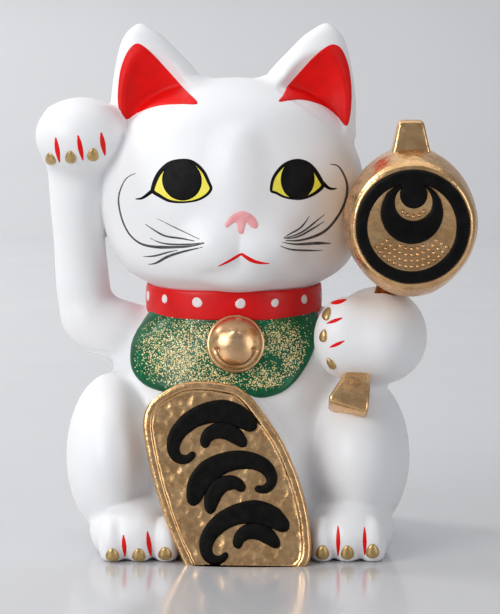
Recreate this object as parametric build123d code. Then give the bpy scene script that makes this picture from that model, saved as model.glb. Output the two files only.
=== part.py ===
from build123d import *

import os
from math import atan2, cos, degrees, radians, sin

# Beckoning cat figurine and money box: slip-cast ceramic castings luted together, with
# relief ornaments and enamel inlays, and a rubber stopper in the base.
# Millimetres. +Z is up and the cat faces -Y, so its own right paw, the raised one, is at -X.
# Shapes are laid out about the cat's middle plane x = 0, and everything is moved at the end
# so that the origin is the centre of the bounding box on the floor.

# ---- driving dimensions ----------------------------------------------------------------
WALL = 5.0                      # thickness of the hollow castings
SEAM_Z = 114.0                  # neck seam, under the collar
NECK_R = 37.5                   # half width of the neck at the seam
NECK_DEPTH = 0.93               # its depth over its width
NECK_X, NECK_Y = -1.0, -2.0
HEAD_MID_Z = 157.0              # widest level of the head
HEAD_R = 61.8                   # half width at the cheeks
HEAD_DEPTH = 0.87               # depth of the head over its width
HEAD_TOP_Z = 216.5
HEAD_YAW = 3.4                  # the face turns a little to +X
ENAMEL = 0.45                   # thickness of the enamel inlays

FOOT_RING_RECESS = 3.0          # the underside is hollowed inside a foot ring
STOPPER_R = 15.0
STOPPER_GAP = 0.08              # radial clearance of the stopper in its hole
STOPPER_PLACE = (0.0, 8.0)
FLANGE_R = 18.0

SLOT_LENGTH, SLOT_HEIGHT = 40.0, 5.0    # coin slot in the back
SLOT_Z = 88.0

COLLAR_LOW, COLLAR_HIGH = 108.4, 120.2
COLLAR_R = 41.3
DOT_COUNT = 14
DOT_R = 2.1
DOT_START = -139.0              # angle of the first dot

BIB_THICK = 1.8
BELL_PLACE = (0.0, -43.0, 96.2)
BELL_R = 13.4
BELL_TILT = 14.0                # the chest slopes, so the bell faces a little upward

COIN_HALF_WIDTH, COIN_HALF_LENGTH = 32.0, 50.0
COIN_THICK = 7.0
COIN_TILT = 18.5                # its top leans to -X
COIN_LEAN = 12.0                # and back against the belly
COIN_CENTRE = (-3.2, -71.6, 37.0)
# Its hand-cut outline from the middle of the +X side, in half widths and half lengths.
COIN_EDGE = [
    (0.94, 0.04), (0.86, 0.32), (0.63, 0.73), (0.31, 0.89), (-0.13, 0.99), (-0.5, 0.97),
    (-0.77, 0.89), (-0.92, 0.72), (-1.0, 0.36), (-1.025, -0.02), (-0.99, -0.44), (-0.85, -0.84),
    (-0.38, -1.02), (0.25, -1.04), (0.72, -0.92), (0.895, -0.62), (0.955, -0.29),
]
RELIEF = 1.6                    # height of the black ornament on the coin
RELIEF_WIDTH = 6.0

MALLET_CENTRE = (80.0, -42.0, 153.0)
MALLET_R, MALLET_END_R = 30.8, 27.8     # at the swell of the barrel and at its ends
MALLET_LENGTH = 52.0
ROUNDEL_R, ROUNDEL_THICK = 25.6, 1.6
BIG_CRESCENT = (-0.5, -0.2, 20.0, 14.0, 6.4)    # centre, outer and inner radius, inner shift up
SMALL_CRESCENT = (0.2, 11.0, 8.4, 6.2, 3.4)
BEAD_R, BEAD_PITCH = 0.8, 2.7
HANDLE_PLACE = (57.0, -47.0, 84.0)      # where its flared end begins
HANDLE_TILT, HANDLE_LEAN = 18.0, 24.0   # its upper end leans to +X and back

SIDES = {"right": -1, "left": 1}        # the cat's own right and left


# ---- helpers ---------------------------------------------------------------------------
def level(x, y, z, a, b):
    """A horizontal elliptical section."""
    return Pos(x, y, z) * Ellipse(a, b)


def ellipsoid(centre, radii, tilt=(0, 0, 0)):
    """Lofted through level sections, with its two tips cut flat by one hundredth."""
    a, b, c = radii
    turns = [radians(-82 + 164 * k / 8) for k in range(9)]
    return Location(centre, tilt) * loft([level(0, 0, c * sin(t), a * cos(t), b * cos(t)) for t in turns])


def drop(centre, radii, tilt=(0, 0, 0)):
    """A small ellipsoid, for claws and painted lines."""
    return Location(centre, tilt) * scale(Sphere(1), radii)


def joined(*shapes):
    whole = shapes[0]
    for shape in shapes[1:]:
        whole = whole + shape
    return whole


def group(solids):
    """Separate solids that make one node."""
    return Compound(children=[s for shape in solids for s in shape.solids()])


def front_prism(outline, depth=120):
    """A prism that runs forward, to -Y, from the plane y = 0 over an outline in x and z."""
    return extrude(Plane.XZ * outline, depth)


def blob(points):
    """A face inside a closed smooth curve through the points."""
    return make_face(Spline(*points, periodic=True))


def above(z):
    return Pos(0, 0, z + 200) * Box(600, 600, 400)


# ---- body ------------------------------------------------------------------------------
def torso(inset=0.0):
    rows = [
        (0.0, 0.0, 3.0, 62.0, 60.0),
        (28.0, 0.0, 3.0, 64.0, 61.0),
        (56.0, 0.0, 3.0, 61.0, 56.0),
        (79.0, 0.0, 1.0, 57.0, 48.0),
        (97.0, 0.0, -1.0, 49.5, 41.5),
        (SEAM_Z, NECK_X, NECK_Y, NECK_R, NECK_R * NECK_DEPTH),
    ]
    return loft([level(x, y, z, a - inset, b - inset) for z, x, y, a, b in rows])


def haunch(side, inset=0.0):
    x, half_width = (-57.5, 22.0) if side < 0 else (56.5, 25.0)
    return ellipsoid((x, -17, 41), (half_width - inset, 48 - inset, 38 - inset))


def toe_places(side):
    middle, pitch = (-43.9, 12.1) if side < 0 else (50.9, 11.4)
    return [middle + pitch * k for k in (-1, 0, 1)]


def foot(side):
    sole = ellipsoid((-46.5 if side < 0 else 52.2, -43, 10.5), (21, 32, 17))
    toes = [ellipsoid((x, -65, 8), (6.6, 9.5, 12)) for x in toe_places(side)]
    return joined(sole, *toes)


def coin_place():
    """Local x runs across the coin, y up along it and z out of its face."""
    tilt = Location(COIN_CENTRE) * Location((0, 0, 0), (0, -COIN_TILT, 0))
    return tilt * Location((0, 0, 0), (90 - COIN_LEAN, 0, 0))


def coin_outline(margin=0.0):
    a, b = COIN_HALF_WIDTH - margin, COIN_HALF_LENGTH - margin
    return blob([(a * x, b * y) for x, y in COIN_EDGE])


def coin_boss():
    """The lump of the body casting that carries the coin."""
    depth = 22
    return (coin_place() * Pos(0, 0, -COIN_THICK - depth) * extrude(coin_outline(1.5), depth)) & above(0)


def tail():
    curl = [ellipsoid((14 + 8 * k, 61 - 0.4 * k * k, 13 + 1.4 * k * k), (9.5, 8, 9)) for k in range(3)]
    return joined(*curl)


def body_outer():
    form = torso()
    for side in SIDES.values():
        form = form + haunch(side) + foot(side)
    return (form + tail() + coin_boss()) & above(0)


def body_cavity():
    form = torso(WALL)
    for side in SIDES.values():
        form = form + haunch(side, WALL)
    return form & above(FOOT_RING_RECESS + WALL)


def body_casting(outer):
    recess = extrude(Pos(0, 3) * Ellipse(53, 49), FOOT_RING_RECESS)
    hole = Pos(*STOPPER_PLACE, 0) * Cylinder(STOPPER_R, 40)
    slot = Pos(0, 48, SLOT_Z) * Box(SLOT_LENGTH, 50, SLOT_HEIGHT)
    return outer - body_cavity() - recess - hole - slot


def stopper():
    """Rubber plug: a flange under the base, a tapered body in the hole and a pull tab."""
    r, floor_top = STOPPER_R - STOPPER_GAP, FOOT_RING_RECESS + WALL
    half = Polyline((0, 1.2), (4, 1.2), (4, 0.4), (6, 0.4), (6, 1.2), (FLANGE_R - 1, 1.2), (FLANGE_R, 2.0),
                    (FLANGE_R, FOOT_RING_RECESS), (r, FOOT_RING_RECESS), (r, floor_top),
                    (r - 2.5, floor_top + 5), (0, floor_top + 5), close=True)
    return Pos(*STOPPER_PLACE, 0) * revolve(Plane.XZ * make_face(half), Axis.Z)


# ---- head ------------------------------------------------------------------------------
def head_place():
    return Location((NECK_X, 0, 0), (0, 0, HEAD_YAW))


def head_form(inset=0.0):
    """The plain head, without ears and muzzle. A negative inset gives a thin skin over it."""
    rows = [
        (SEAM_Z, NECK_R), (120.3, 40.0), (125.5, 48.5), (131.5, 54.5), (143.5, 60.0),
        (HEAD_MID_Z, HEAD_R), (175.5, 60.0), (193.5, 52.0), (206.5, 39.5), (213.8, 22.0), (HEAD_TOP_Z, 6.0),
    ]
    squeeze = 1 - inset / (HEAD_TOP_Z - HEAD_MID_Z)
    sections = []
    for z, a in rows:
        b = a * (NECK_DEPTH + (HEAD_DEPTH - NECK_DEPTH) * min(1, (z - SEAM_Z) / 30))
        y = NECK_Y * max(0, 1 - (z - SEAM_Z) / 30)
        if z > HEAD_MID_Z:
            z = HEAD_MID_Z + (z - HEAD_MID_Z) * squeeze
        sections.append(level(0, y, z, max(a - inset, 2), max(b - inset, 2)))
    return loft(sections)


def pads_and_chin(grow=0.0):
    pads = [ellipsoid((9 * k, -46, 142), (15 + grow, 13.5 + grow, 12 + grow)) for k in (-1, 1)]
    chin = ellipsoid((0, -43, 131), (13 + grow, 11 + grow, 8 + grow))
    return joined(*pads, chin)


def muzzle():
    bridge = ellipsoid((0, -43, 165), (11, 12, 28))
    return joined(bridge, pads_and_chin())


def ear(side):
    rows = [
        (190.0, 33.0, 24.0, 17.0), (205.0, 35.0, 22.6, 14.5), (216.0, 35.6, 20.8, 12.5),
        (224.0, 38.0, 17.0, 10.5), (231.0, 40.6, 12.8, 8.5), (237.0, 42.4, 8.2, 6.0),
        (240.6, 43.4, 3.6, 3.0), (241.8, 43.6, 1.4, 1.2),
    ]
    return loft([level(side * x, 2, z, a, b) for z, x, a, b in rows])


def ear_scoop(side, shrink=0.0):
    radii = (18.5 - shrink, 12.5 - shrink, 27 - shrink)
    return ellipsoid((side * 37, -14, 207), radii, (0, side * 11, 0))


def head_outer():
    form = head_form() + ear(-1) + ear(1)
    return form + muzzle()


def head_casting(outer):
    form = outer - head_form(WALL)
    for side in SIDES.values():
        form = form - (ear_scoop(side) - head_form())
    return form


def ear_lining(side):
    layer = ear_scoop(side) - ear_scoop(side, shrink=1.0)
    return (layer & ear(side)) - head_form()


# ---- enamel on the face, laid out on the head before it turns ---------------------------
EYE_X, EYE_Z = 26.3, 172.6
EYE_HALF_WIDTH, EYE_HALF_HEIGHT = 13.6, 10.0
PUPIL_R = 9.0
NOSE_Z, MOUTH_Z = 153.8, 140.0


def eye_outline(side):
    """An almond with its outer corner lower and drawn out."""
    w, h = EYE_HALF_WIDTH, EYE_HALF_HEIGHT
    points = [(w, -2.5), (w * 0.62, h * 0.62), (0, h), (-w * 0.68, h * 0.6), (-w, -1.0),
              (-w * 0.5, -h * 0.8), (0, -h), (w * 0.6, -h * 0.75)]
    return blob([(side * (EYE_X + x), EYE_Z + z) for x, z in points])


def eye(side, skin, muzzle_form):
    """Yellow iris and black pupil, each a thin inlay on the surface of the head."""
    pupil_prism = front_prism(Pos(side * (EYE_X - 0.5), EYE_Z) * Circle(PUPIL_R))
    almond = (skin & front_prism(eye_outline(side))) - muzzle_form
    return almond - pupil_prism, almond & pupil_prism


def nose(muzzle_form):
    cap = ellipsoid((0, -54.5, NOSE_Z), (7.2, 4.5, 4.6))
    return cap - muzzle_form - head_form()


def mouth(muzzle_form):
    """A thin line that rises to a peak in the middle."""
    strokes = [Pos(5.2 * k, -57, MOUTH_Z - 2.6) * Rot(0, 27 * k, 0) * Box(11.6, 9, 1.2) for k in (-1, 1)]
    return (joined(*strokes) & pads_and_chin(0.4)) - muzzle_form


# ---- arms ------------------------------------------------------------------------------
PAW_CENTRE, PAW_R = (-72.0, -10.0, 190.4), (21.0, 22.0, 17.6)
GRIP_PAW_CENTRE, GRIP_PAW_R = (51.0, -42.0, 99.0), (15.0, 15.0, 19.0)


def raised_arm():
    rows = [(98.0, -68.0, 12.5), (113.0, -71.5, 12.8), (133.0, -73.3, 12.2), (157.0, -75.0, 12.4),
            (181.0, -74.0, 15.0)]
    forearm = loft([level(x, 0, z, r, r) for z, x, r in rows])
    elbow = ellipsoid((-64, 0, 100), (16, 14.5, 11), (0, 20, 0))
    shoulder = ellipsoid((-52, 1, 97), (16, 17, 13))
    return joined(forearm, elbow, shoulder, ellipsoid(PAW_CENTRE, PAW_R))


def grip_paw():
    return ellipsoid(GRIP_PAW_CENTRE, GRIP_PAW_R)


def mallet_arm():
    elbow = ellipsoid((66.5, -24, 98), (22.5, 36, 22.5))
    shoulder = ellipsoid((52, -2, 96), (18, 20, 14))
    return joined(elbow, shoulder, grip_paw())


def on_ellipsoid(centre, radii, x, z):
    """The point of the front of an ellipsoid at x and z."""
    share = 1 - ((x - centre[0]) / radii[0]) ** 2 - ((z - centre[2]) / radii[2]) ** 2
    return x, centre[1] - radii[1] * max(share, 0.0) ** 0.5, z


def foot_claws(side):
    return [ellipsoid((x, -73.5, 4.4), (2.6, 2.4, 3.4)) for x in toe_places(side)]


def foot_lines(side):
    a, b, c = toe_places(side)
    return [ellipsoid(((m + n) / 2, -71.0, 8.0), (0.9, 2.6, 6.0)) for m, n in ((a, b), (b, c))]


def raised_paw_claws():
    places = [(-84.9, 181.0), (-76.6, 180.5), (-65.9, 182.0)]
    return [ellipsoid(on_ellipsoid(PAW_CENTRE, PAW_R, x, z), (3.0, 2.4, 2.9)) for x, z in places]


def raised_paw_lines():
    places = [(-82.5, 186.5), (-71.9, 185.6), (-60.8, 188.4)]
    return [ellipsoid(on_ellipsoid(PAW_CENTRE, PAW_R, x, z), (0.9, 1.2, 6.0)) for x, z in places]


def grip_paw_claws():
    places = [(42.5, 111.0), (40.6, 101.0), (43.3, 88.8)]
    return [drop(on_ellipsoid(GRIP_PAW_CENTRE, GRIP_PAW_R, x, z), (2.0, 2.2, 3.0)) for x, z in places]


def grip_paw_lines():
    """Thin bars of enamel that follow the round of the paw."""
    places = [(48.2, 114.4), (47.4, 108.2), (47.6, 97.4)]
    skin = ellipsoid(GRIP_PAW_CENTRE, [r + 0.8 for r in GRIP_PAW_R])
    bars = [Location(on_ellipsoid(GRIP_PAW_CENTRE, GRIP_PAW_R, x, z), (0, -20, 0)) * Box(5.4, 7, 1.5)
            for x, z in places]
    return [(bar & skin) - grip_paw() for bar in bars]


# ---- mallet ----------------------------------------------------------------------------
def mallet_place():
    """Local z runs out of the front end of the barrel, local y up."""
    return Location(MALLET_CENTRE, (90, 0, 0))


def barrel_solid(inset=0.0):
    half, end, swell = MALLET_LENGTH / 2 - inset, MALLET_END_R - inset, MALLET_R - inset
    side_line = ThreePointArc((end, -half), (swell, 0), (end, half))
    outline = side_line + Polyline((end, half), (0, half), (0, -half), (end, -half))
    return revolve(Plane.XZ * make_face(outline), Axis.Z)


def mallet_barrel():
    return mallet_place() * (barrel_solid() - barrel_solid(4.5))


def crescent(x, y, outer, inner, shift):
    return Pos(x, y) * Circle(outer) - Pos(x, y + shift) * Circle(inner)


def roundel():
    plate = Circle(ROUNDEL_R) - crescent(*BIG_CRESCENT) - crescent(*SMALL_CRESCENT)
    return mallet_place() * Pos(0, 0, MALLET_LENGTH / 2) * extrude(plate, ROUNDEL_THICK)


def roundel_beads():
    """Rows of beads on the gold floor of the two crescents, in their lower part."""
    beads = []
    dome = Sphere(BEAD_R) & Pos(0, 0, 5) * Box(9, 9, 10)
    for x, y, outer, inner, shift in (BIG_CRESCENT, SMALL_CRESCENT):
        ring = outer - 2.0
        while ring > BEAD_PITCH:
            step = BEAD_PITCH / ring
            for k in range(-20, 21):
                u, v = ring * sin(k * step), -ring * cos(k * step)
                clear = (u * u + (v - shift) ** 2) ** 0.5 - inner
                if clear > 1.6 and abs(k * step) < 1.1:
                    beads.append(mallet_place() * Pos(x + u, y + v, MALLET_LENGTH / 2) * dome)
            ring -= BEAD_PITCH
    return beads


def handle_tip():
    low, high, root, height = 18.0, 11.0, 4.0, 12.6
    stub = loft([Pos(0, 0, MALLET_R - root) * RectangleRounded(low, low, 2),
                 Pos(0, 0, MALLET_R + height) * RectangleRounded(high, high, 2)])
    return Pos(*MALLET_CENTRE) * stub


def handle():
    """The handle: from the barrel down through the paw, flared at its free end."""
    neck, foot = RectangleRounded(10, 9, 2), RectangleRounded(19, 18, 2.5)
    shank = extrude(neck, 44)
    flare = loft([neck, Pos(0, 0, -7) * RectangleRounded(14, 13, 2.2), Pos(0, 0, -20) * foot])
    return Location(HANDLE_PLACE, (-HANDLE_LEAN, HANDLE_TILT, 0)) * (shank + flare)


# ---- collar, bib and bell --------------------------------------------------------------
def collar_disc(extra=0.0):
    outline = Ellipse(COLLAR_R + extra, COLLAR_R * NECK_DEPTH + extra)
    return Pos(NECK_X, NECK_Y, COLLAR_LOW) * extrude(outline, COLLAR_HIGH - COLLAR_LOW)


def collar():
    """A band round the neck, over the seam, with its upper edge rounded."""
    band = collar_disc() - torso() - head_place() * head_form()
    rim = band.edges().group_by(Axis.Z)[-1].sort_by(SortBy.LENGTH)[-1]
    return fillet(rim, 0.9)


def collar_dots():
    """Flat drops of enamel, each square to the band's oval outline."""
    middle = (COLLAR_LOW + COLLAR_HIGH) / 2
    dots = []
    for k in range(DOT_COUNT):
        t = radians(DOT_START + 360 / DOT_COUNT * k)
        x, y = COLLAR_R * cos(t), COLLAR_R * NECK_DEPTH * sin(t)
        facing = degrees(atan2(sin(t), NECK_DEPTH * cos(t)))
        dot = Rot(0, 0, facing) * Rot(0, 90, 0) * Cylinder(DOT_R, 2 * ENAMEL)
        dots.append(Pos(NECK_X + x, NECK_Y + y, middle) * dot - collar_disc())
    return dots


def bib():
    outline = blob([
        (-40.5, 110), (-46.5, 101), (-48.5, 91), (-45.5, 81.5), (-37, 75), (-16, 71.5), (8, 71.5),
        (18, 73), (26, 78), (32.5, 86), (37, 96), (38, 106), (33, 112), (0, 116), (-30, 114),
    ])
    return (torso(-BIB_THICK) - torso()) & front_prism(outline)


def bell_place():
    return Location(BELL_PLACE, (90 - BELL_TILT, 0, 0))


def bell():
    """A half-round bell on a thin rim, with two holes joined by a curved slit."""
    rim_z, dome_r, dome_h = 3.0, BELL_R - 1.0, 10.5
    rim = Cylinder(BELL_R, 4, align=(Align.CENTER, Align.CENTER, Align.MIN))
    dome = ellipsoid((0, 0, rim_z), (dome_r, dome_r, dome_h)) & above(rim_z)
    form = rim + dome
    for k in (-1, 1):
        form = form - Pos(8.2 * k, -3.4, 11) * Cylinder(1.2, 8)
    slit = extrude(SlotArc(ThreePointArc((-8.2, -3.4), (0, -9.4), (8.2, -3.4)), 0.7), 20)
    depth_limit = ellipsoid((0, 0, rim_z), (dome_r - 0.9, dome_r - 0.9, dome_h - 0.9))
    form = form - (Pos(0, 0, rim_z) * slit - depth_limit)
    return bell_place() * (form + ellipsoid((0, 4.6, rim_z + 9.4), (1.8, 1.1, 0.9)))


# ---- coin ------------------------------------------------------------------------------
def coin_slab():
    slab = Pos(0, 0, -COIN_THICK) * extrude(coin_outline(), COIN_THICK)
    slab = fillet(slab.edges().group_by(Axis.Z)[-1], 2.2)
    floor = extrude(coin_outline(5.0), -1.4)
    return (coin_place() * (slab - floor)) & above(0)


def scroll_strokes():
    """Three cloud scrolls, one above the other, each an arch with curled ends."""
    strokes = []
    for k, v in enumerate((26.0, 2.0, -22.0)):
        side = 1 if k % 2 else -1
        arch = ThreePointArc((-19 * side, v - 7), (0, v + 7), (19 * side, v - 3))
        curl = ThreePointArc((19 * side, v - 3), (17 * side, v - 10), (10 * side, v - 8))
        inner = ThreePointArc((-12 * side, v - 12), (-2 * side, v - 1), (5 * side, v - 7))
        strokes += [SlotArc(arch, RELIEF_WIDTH), SlotArc(curl, RELIEF_WIDTH * 0.8),
                    SlotArc(inner, RELIEF_WIDTH * 0.8)]
    return strokes


def coin_relief():
    face = joined(*scroll_strokes())
    inside = extrude(coin_outline(5.6), 10, both=True)
    raised = Pos(0, 0, -1.4) * extrude(face, RELIEF) & inside
    return (coin_place() * raised) & above(0.2)


# ---- assembly --------------------------------------------------------------------------
def build():
    body, plain_head = body_outer(), head_outer()
    head = head_place() * plain_head
    muzzle_form = muzzle()
    skin = head_form(-ENAMEL) - head_form()
    parts = {
        "body_casting": body_casting(body),
        "head_casting": head_place() * head_casting(plain_head),
        "stopper": stopper(),
    }
    handle_form = handle() - body - head
    arm = raised_arm() - body - head
    grip_arm = mallet_arm() - body - head - handle_form
    parts["raised_arm_casting"] = arm
    parts["mallet_arm_casting"] = grip_arm

    for name, side in SIDES.items():
        parts[f"{name}_ear_lining"] = head_place() * ear_lining(side)
        iris, pupil = eye(side, skin, muzzle_form)
        parts[f"{name}_eye_iris"] = head_place() * iris
        parts[f"{name}_eye_pupil"] = head_place() * pupil
        parts[f"{name}_foot_claws"] = group([claw - body for claw in foot_claws(side)])
        parts[f"{name}_foot_toe_lines"] = group([line - body for line in foot_lines(side)])
    parts["nose"] = head_place() * nose(muzzle_form)
    parts["mouth_line"] = head_place() * mouth(muzzle_form)

    parts["raised_paw_claws"] = group([claw - arm for claw in raised_paw_claws()])
    parts["raised_paw_toe_lines"] = group([line - arm for line in raised_paw_lines()])
    parts["grip_paw_claws"] = group([claw - grip_arm for claw in grip_paw_claws()])
    parts["grip_paw_toe_lines"] = group(grip_paw_lines())

    barrel = mallet_barrel() - head
    parts["mallet_barrel"] = barrel
    parts["mallet_roundel"] = roundel()
    parts["mallet_beads"] = group(roundel_beads())
    parts["mallet_handle_tip"] = handle_tip() - (mallet_place() * barrel_solid())
    parts["mallet_handle"] = handle_form - (mallet_place() * barrel_solid())

    parts["collar"] = collar()
    parts["collar_dots"] = group(collar_dots())
    slab = coin_slab() - body
    parts["coin_slab"] = slab
    parts["coin_relief"] = group([coin_relief()])
    bell_form = bell()
    parts["bib"] = bib() - body - collar_disc() - slab - arm - grip_arm - bell_form
    parts["bell"] = bell_form - body - collar_disc()
    return parts


def centred(parts):
    """Everything moved so that the origin is the centre of the bounding box on the floor."""
    boxes = [shape.bounding_box() for shape in parts.values()]
    x = min(box.min.X for box in boxes) + max(box.max.X for box in boxes)
    y = min(box.min.Y for box in boxes) + max(box.max.Y for box in boxes)
    shift = Pos(-x / 2, -y / 2, 0)
    return {name: shift * shape for name, shape in parts.items()}


os.makedirs("parts", exist_ok=True)
for name, shape in centred(build()).items():
    export_step(shape, f"parts/{name}.step")
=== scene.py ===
from math import atan2, cos, pi, radians, sin

import bmesh
import bpy
import numpy as np
from mathutils import Matrix, Vector
from mathutils.geometry import delaunay_2d_cdt


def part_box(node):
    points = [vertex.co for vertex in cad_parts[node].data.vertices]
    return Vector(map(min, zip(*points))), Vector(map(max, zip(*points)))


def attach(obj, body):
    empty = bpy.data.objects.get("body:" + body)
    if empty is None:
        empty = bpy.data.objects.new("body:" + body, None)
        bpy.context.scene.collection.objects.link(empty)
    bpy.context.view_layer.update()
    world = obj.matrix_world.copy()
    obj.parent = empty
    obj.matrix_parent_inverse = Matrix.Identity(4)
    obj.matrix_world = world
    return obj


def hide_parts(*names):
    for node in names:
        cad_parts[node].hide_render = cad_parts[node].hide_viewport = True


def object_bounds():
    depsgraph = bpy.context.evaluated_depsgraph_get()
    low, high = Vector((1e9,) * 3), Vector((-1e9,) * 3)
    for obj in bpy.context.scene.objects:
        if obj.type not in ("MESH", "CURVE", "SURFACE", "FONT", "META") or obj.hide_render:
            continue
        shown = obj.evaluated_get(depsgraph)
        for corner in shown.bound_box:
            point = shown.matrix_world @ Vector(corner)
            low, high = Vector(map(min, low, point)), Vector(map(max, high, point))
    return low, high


# Beckoning cat figurine and money box. The fired ceramic is one continuous glazed form of four
# castings, and the enamel, gold and relief pieces lie on it. Lengths below are millimetres from
# the cat's own origin: its middle plane x = 0, the floor z = 0, facing -Y. Its own right paw,
# the raised one, is at -X. The stopper in the base gives where that origin is in the frame.

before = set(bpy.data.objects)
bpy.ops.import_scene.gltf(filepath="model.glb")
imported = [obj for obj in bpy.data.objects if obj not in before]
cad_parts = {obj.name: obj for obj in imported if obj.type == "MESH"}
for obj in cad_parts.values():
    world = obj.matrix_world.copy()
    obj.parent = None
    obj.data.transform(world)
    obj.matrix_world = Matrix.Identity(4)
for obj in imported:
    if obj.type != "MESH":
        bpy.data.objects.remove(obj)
CAD_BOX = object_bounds()

MM = 0.001
STOPPER_Y = 8.0                 # the stopper's place behind the cat's origin
STOPPER_LOW, STOPPER_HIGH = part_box("stopper")
ORIGIN = (STOPPER_LOW + STOPPER_HIGH) / 2 - Vector((0, STOPPER_Y * MM, 0))
ORIGIN.z = 0
SIDES = {"right": -1, "left": 1}


def box_mm(node):
    """The lowest and highest corner of a CAD node from the cat's origin."""
    low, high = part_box(node)
    return (np.array(low - ORIGIN) / MM, np.array(high - ORIGIN) / MM)


# ---- form: signed distances in millimetres ---------------------------------------------
WALL = 5.0
SEAM_Z = 114.0
NECK_R, NECK_DEPTH, NECK_X, NECK_Y = 37.5, 0.93, -1.0, -2.0
HEAD_MID_Z, HEAD_R, HEAD_DEPTH, HEAD_TOP_Z = 157.0, 61.8, 0.87, 216.5
HEAD_YAW = 3.4
RECESS = 3.0
HOLE_R = 15.1
SLOT_HALF = np.array((20.0, 25.0, 2.5))
SLOT_PLACE = np.array((0.0, 48.0, 88.0))
COIN_CENTRE = np.array((-3.2, -71.6, 37.0))
COIN_HALF_WIDTH, COIN_HALF_LENGTH, COIN_THICK = 32.0, 50.0, 7.0
COIN_TILT, COIN_LEAN = 18.5, 12.0


def turn_matrix(axis, degrees):
    return np.array(Matrix.Rotation(radians(degrees), 3, axis))


HEAD_TURN = turn_matrix("Z", HEAD_YAW)
COIN_TURN = turn_matrix("Y", -COIN_TILT) @ turn_matrix("X", 90 - COIN_LEAN)


def natural_spline(ts, ys):
    """A smooth curve through the values ys at ts."""
    ts, ys = np.asarray(ts, float), np.asarray(ys, float)
    n, h = len(ts), np.diff(ts)
    m, r = np.eye(n), np.zeros(n)
    for i in range(1, n - 1):
        m[i, i - 1:i + 2] = h[i - 1], 2 * (h[i - 1] + h[i]), h[i]
        r[i] = 6 * ((ys[i + 1] - ys[i]) / h[i] - (ys[i] - ys[i - 1]) / h[i - 1])
    c = np.linalg.solve(m, r)

    def curve(t):
        i = np.clip(np.searchsorted(ts, t) - 1, 0, n - 2)
        a, b = ts[i + 1] - t, t - ts[i]
        bend = (c[i] * a ** 3 + c[i + 1] * b ** 3) / (6 * h[i])
        return bend + (ys[i] / h[i] - c[i] * h[i] / 6) * a + (ys[i + 1] / h[i] - c[i + 1] * h[i] / 6) * b
    return curve


def smooth_min(a, b, k):
    """The union of two forms, with a fillet about k wide."""
    h = np.clip(0.5 + 0.5 * (b - a) / k, 0, 1)
    return b + (a - b) * h - k * h * (1 - h)


def smooth_max(a, b, k):
    return -smooth_min(-a, -b, k)


def ellipsoid(p, centre, radii, tilt=0.0):
    """An ellipsoid, tilted about Y in degrees."""
    q = p - np.array(centre)
    if tilt:
        q = q @ turn_matrix("Y", tilt)
    radii = np.array(radii)
    k = np.linalg.norm(q / radii, axis=1)
    slope = np.linalg.norm(q / radii ** 2, axis=1)
    return k * (k - 1) / np.maximum(slope, 1e-9)


class Stack:
    """A form through level elliptical sections (z, x, y, half width, half depth)."""

    def __init__(self, rows, over=1.5):
        z, x, y, a, b = (np.array(c, float) for c in zip(*rows))
        self.low, self.high = z[0], z[-1] + over
        self.x, self.y = natural_spline(z, x), natural_spline(z, y)
        self.area, self.depth = natural_spline(z, a * a), natural_spline(z, b / a)

    def distance(self, p, side=1):
        z = np.clip(p[:, 2], self.low, self.high)
        area, k = self.area(z), self.depth(z)
        x, y = p[:, 0] - side * self.x(z), p[:, 1] - self.y(z)
        rise = self.area(np.minimum(z + 0.5, self.high)) - self.area(np.maximum(z - 0.5, self.low))
        slope = np.sqrt(4 * x * x + 4 * y * y / k ** 4 + rise ** 2)
        slope = np.maximum(slope, np.sqrt(np.maximum(area, 1.0)))
        d = (x * x + (y / k) ** 2 - area) / slope
        ends = np.maximum(self.low - p[:, 2], p[:, 2] - self.high)
        return np.maximum(d, ends)


def head_rows():
    sections = [(SEAM_Z, NECK_R), (120.3, 40.0), (125.5, 48.5), (131.5, 54.5), (143.5, 60.0),
                (HEAD_MID_Z, HEAD_R), (175.5, 60.0), (193.5, 52.0), (206.5, 39.5), (213.8, 22.0),
                (HEAD_TOP_Z, 6.0)]
    rows = []
    for z, a in sections:
        rise = min(1, (z - SEAM_Z) / 30)
        rows.append((z, 0, NECK_Y * (1 - rise), a, a * (NECK_DEPTH + (HEAD_DEPTH - NECK_DEPTH) * rise)))
    return rows


TORSO = Stack([(-8, 0, 3, 60.5, 58.5), (0, 0, 3, 62, 60), (28, 0, 3, 64, 61), (56, 0, 3, 61, 56),
               (79, 0, 1, 57, 48), (97, 0, -1, 49.5, 41.5), (106, -0.7, -1.6, 41, 36.7),
               (SEAM_Z, NECK_X, NECK_Y, NECK_R, NECK_R * NECK_DEPTH)], over=0.0)
HEAD = Stack(head_rows())
EAR = Stack([(190, 33, 2, 24, 17), (205, 35, 2, 22.6, 14.5), (216, 35.6, 2, 20.8, 12.5),
             (224, 38, 2, 17, 10.5), (231, 40.6, 2, 12.8, 8.5), (237, 42.4, 2, 8.2, 6),
             (240.6, 43.4, 2, 3.6, 3), (241.8, 43.6, 2, 1.4, 1.2)], over=0.2)
FOREARM = Stack([(89, -64.2, 0, 5, 5), (91.5, -65, 0, 9, 9), (96, -66.8, 0, 11.7, 11.7),
                 (101, -68.6, 0, 12.5, 12.5), (113, -71.5, 0, 12.8, 12.8), (133, -73.3, 0, 12.2, 12.2),
                 (157, -75, 0, 12.4, 12.4), (181, -74, 0, 15, 15), (190, -73.5, -3, 15, 14),
                 (199, -73, -6, 9, 9)], over=0.0)
PAW_CENTRE, PAW_R = (-72.0, -10.0, 190.4), (21.0, 22.0, 17.6)
GRIP_PAW_CENTRE, GRIP_PAW_R = (51.0, -42.0, 99.0), (15.0, 15.0, 19.0)


def toe_places(side):
    middle, pitch = (-43.9, 12.1) if side < 0 else (50.9, 11.4)
    return [middle + pitch * k for k in (-1, 0, 1)]


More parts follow.
